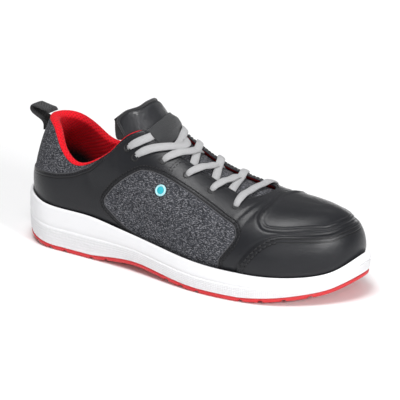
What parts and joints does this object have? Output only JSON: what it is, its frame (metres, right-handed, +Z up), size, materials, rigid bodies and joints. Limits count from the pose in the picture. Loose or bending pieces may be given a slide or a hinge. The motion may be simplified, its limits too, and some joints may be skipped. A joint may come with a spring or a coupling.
{
  "type": "safety sneaker",
  "caption": "Low safety sneaker: leather upper with fabric side panels and padded collar, laced throat, thick foam cupsole and red lugged outsole.",
  "frame": {"origin": "on the ground, under the middle of the shoe's overall length and width", "axes": "+X towards the toe, +Y towards the inner side of this right shoe, +Z up"},
  "size_m": [0.3003, 0.1129, 0.126],
  "materials": {
    "red_rubber": "matt moulded rubber",
    "white_foam": "satin moulded foam with a fine pebbled band",
    "insole_fabric": "dark woven sockliner",
    "black_leather": "smooth coated leather, soft gloss",
    "grey_fabric": "dark grey melange weave",
    "lace_fabric": "flat woven lace",
    "webbing": "fine woven webbing",
    "badge": "smooth moulded disc"
  },
  "bodies": {
    "root": {"outsole": "red_rubber", "midsole": "white_foam", "insole": "insole_fabric", "upper": "black_leather", "tongue": "grey_fabric", "tongue_label": "webbing", "lace_top_bar": "lace_fabric", "lace_toe_bar": "lace_fabric", "pull_loop": "webbing", "side_badge": "badge", "lace_crossing_1": "lace_fabric", "lace_crossing_2": "lace_fabric", "lace_crossing_3": "lace_fabric", "lace_crossing_4": "lace_fabric"}
  },
  "joints": []
}
